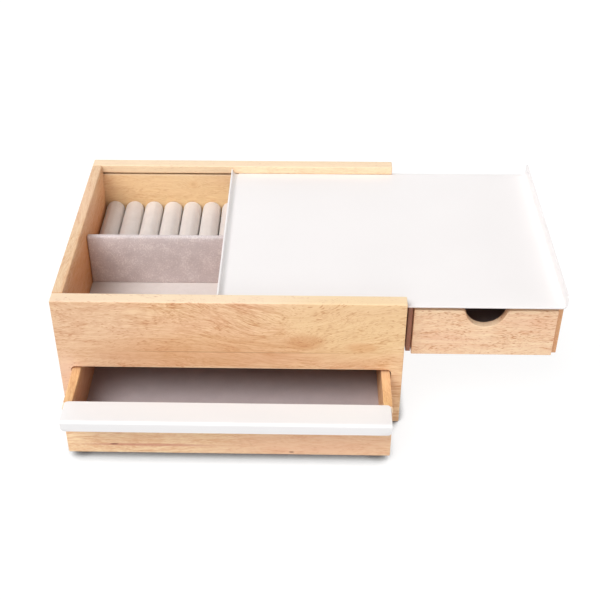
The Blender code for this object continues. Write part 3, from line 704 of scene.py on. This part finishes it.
# Painted shade: the grooves near the top of the front and rear boards are tinted dark brown
GROOVE_PAINTED_SHADE = [((0, side * 0.0962, 0.1067), (WIDE, 0.0045, 0.0019), "#7E3C12", 0.95) for side in (-1, 1)]
FRONT_MARKS_AND_HIGHLIGHT = [
    ((-0.115, -0.1034, 0.080), (0.080, 0.020, 0.060), "#E9C2A4", 0.42),
    ((0.095, -0.1034, 0.095), (0.085, 0.020, 0.050), "#F0CF9C", 0.60),
    ((-0.020, -0.1034, 0.070), (0.110, 0.020, 0.022), "#D9A273", 0.45),
    ((0.0560, -0.1034, 0.0790), (0.020, 0.004, 0.0095), "#C67E48", 0.42),
    ((0.0980, -0.1034, 0.0745), (0.017, 0.004, 0.0060), "#D6955E", 0.40),
    ((0, -0.1034, FRONT_SEAM), (0.112, 0.001, 0.0008), "#B0764A", 0.45),
    # Painted highlight: a whitish line along the top edge of the front's opening
    ((0, -0.1034, 0.0533), (0.124, 0.001, 0.0010), "#F6DDBB", 0.50),
    ((-0.126, -0.1034, 0.030), (0.022, 0.020, 0.045), "#F6D0B4", 0.70),
]
FRONT_BENDS = [((0.045, -0.1034, 0.095), (0.085, 0.050, 0.060), 24.0),
               ((0.056, -0.1034, 0.079), (0.017, 0.020, 0.013), 7.0)]
REAR_MARKS_AND_HIGHLIGHTS = [
    (KNOT, (0.0060, 0.0060, 0.0052), "#D8935A", 0.45),
    ((-0.0430, 0.0932, 0.0962), (0.0026, 0.0060, 0.0028), "#BE7038", 0.60),
    ((-0.060, 0.0932, 0.0800), (0.120, 0.006, 0.0450), "#FBDCA6", 0.55),
    # Painted highlights: a light strip above the groove on the inside, and a thin line along the groove's
    # lower edge
    ((0, 0.0932, 0.1125), (WIDE, 0.0015, 0.0065), "#F5DDBA", 0.70),
    ((0, 0.0932, 0.1053), (WIDE, 0.0010, 0.0006), "#F9E2C2", 0.70),
]
# Painted shade and warm bounce light: the inside of the left wall is tinted deep orange
LEFT_WALL_PAINTED_SHADE_AND_BOUNCE = [((-0.1218, -0.060, 0.080), (0.006, 0.200, 0.045), "#DC7F1A", 0.58)]
# Painted shade: the inside of the drawer's left wall is tinted dark red-brown
DRAWER_WALL_PAINTED_SHADE = [((-0.1130, 0, 0.028), (0.005, WIDE, 0.028), "#A8604C", 0.55)]
DRAWER_MARKS = [
    ((-0.0600, -0.1474, 0.0146), (0.064, 0.002, 0.0018), "#D08470", 0.65),
    ((-0.0852, -0.1474, 0.0150), (0.0042, 0.002, 0.0010), "#7C3D2C", 0.75),
    ((0.0470, -0.1474, 0.0089), (0.0025, 0.002, 0.0012), "#5A2E20", 0.85),
    ((0.0700, -0.1474, 0.0200), (0.095, 0.002, 0.0200), "#EFB795", 0.50),
]


def dress_boards():
    """Each board gets its own place in the block, so that no two show the same grain.

    The drawer's sides and back are yellower, thin panels and strips browner, the left hanger darker
    and redder with painted shade, and the tray's boards paler with more open pores.
    """
    yellow = {"face": linear("#EEC388"), "ring": linear("#CC8C54"), "top_highlight_share": 0.10}
    thin = {"face": linear("#D9A882"), "ring": linear("#B27E5C"), "top_highlight_share": 0.10}
    # Painted shade: the left hanger is a darker, redder copy of the wood
    hanger_in_painted_shade = {"face": linear("#B98066"), "ring": linear("#94604A"), "top_highlight_share": 0.10}
    speckled = {"face": linear("#F9DAB6"), "ring": linear("#E6B48B"), "top_highlight_share": 0.35, "pores": 0.65}
    boards = {
        "case_front": (False, (30, 55, 38), {"marks": GROOVE_PAINTED_SHADE + FRONT_MARKS_AND_HIGHLIGHT, "bends": FRONT_BENDS,
                                             "seam": FRONT_SEAM, "figure": 1.1, "pores": 0.48}),
        "case_rear": (False, (260, -70, 60), {"marks": GROOVE_PAINTED_SHADE + REAR_MARKS_AND_HIGHLIGHTS, "figure": 0.8, "top_highlight_share": 0.8,
                                              "bends": [(KNOT, (0.010,) * 3, 6.0)]}),
        "case_left": (True, (90, 66, 41), {"face": linear("#EBC99F"), "top_highlight_share": 0.25, "marks": LEFT_WALL_PAINTED_SHADE_AND_BOUNCE}),
        "case_right_lower": (True, (400, 45, -50), {}),
        "case_bottom": (False, (510, 90, 70), thin),
        "case_shelf": (False, (610, 30, 90), thin),
        "compartment_partition": (True, (710, 60, -64), thin),
        "hanger_left": (True, (810, 48, 57), hanger_in_painted_shade),
        "hanger_right": (True, (910, 70, -40), {}),
        "carrier_top": (True, (120, -60, 85), thin),
        "carrier_back": (False, (230, 81, 47), thin),
        "tray_runner_left": (True, (340, 52, 44), thin),
        "tray_runner_right": (True, (450, 61, 39), thin),
        "tray_front": (False, (560, 44, 50), speckled),
        "tray_left": (True, (670, 57, 62), speckled),
        "tray_right": (True, (780, -49, 58), speckled),
        "tray_back": (False, (890, 63, -55), speckled),
        "tray_bottom": (False, (150, 77, 66), thin),
        "drawer_front": (False, (75, 150, 71), {"face": linear("#FDDDB2"), "ring": linear("#E3A97C"),
                                                "figure": 0.9, "marks": DRAWER_MARKS}),
        "drawer_left": (True, (370, 68, -45), {**yellow, "marks": DRAWER_WALL_PAINTED_SHADE}),
        "drawer_right": (True, (480, 51, 73), yellow),
        "drawer_back": (False, (590, -58, 49), yellow),
        "drawer_bottom": (False, (690, 72, 53), thin),
    }
    for name, (along_y, start, more) in boards.items():
        look = rubberwood("lacquered_rubberwood_" + name, along_y, start, **more)
        for holder in NODES[name].material_slots:
            holder.material = look


place_camera()
place_light()
make_floor()
dress_boards()

make_lid(powder_coat("powder_coated_steel_white", "#F4F0EF", "#EFEBEA"))
# Painted shade: the pull's white is a slightly darker copy of the lid's powder coat
make_pull(powder_coat("powder_coated_steel_white_painted_shade", "#F0EEEE", "#ECEAEA"))

# Velveteen on the rolls is soft and even, on the divider brushed and flecked with painted glints;
# flock is darker and dull
velveteen = pile_cloth("velveteen_grey_beige", "#EFE8E4", "#DBD1CC", 7.0, 0.9, 0.12, 0.85)
wrap = pile_cloth("velveteen_brushed_mauve", "#ECE1E0", "#C2B4B4", 12.0, 1.0, 0.14, 0.30, 0.32)
flock = pile_cloth("flocked_lining_mauve", "#C4B7B8", "#A79A9B", 14.0, 0.8, 0.10, 0.25)

for roll in range(1, 9):
    make_roll(roll, velveteen)
base = soft_block("ring_cushion_pad", *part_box("ring_cushion_base"), BASE_EDGE, BASE_STEP, 0.0,
                  velveteen, "case", 31)
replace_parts(base, "ring_cushion_base")
divider = soft_block("ring_divider_cover", *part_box("ring_divider"), DIVIDER_EDGE, DIVIDER_STEP,
                     DIVIDER_PUFF, wrap, "case", 32)
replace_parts(divider, "ring_divider")
laid_cloth("compartment_lining", "compartment_liner", velveteen, "case", SHELF_SWELL,
           41)
laid_cloth("tray_lining", "tray_liner", flock, "tray", TRAY_SWELL, 42)
laid_cloth("drawer_lining", "drawer_liner", flock, "drawer", DRAWER_SWELL,
           43)
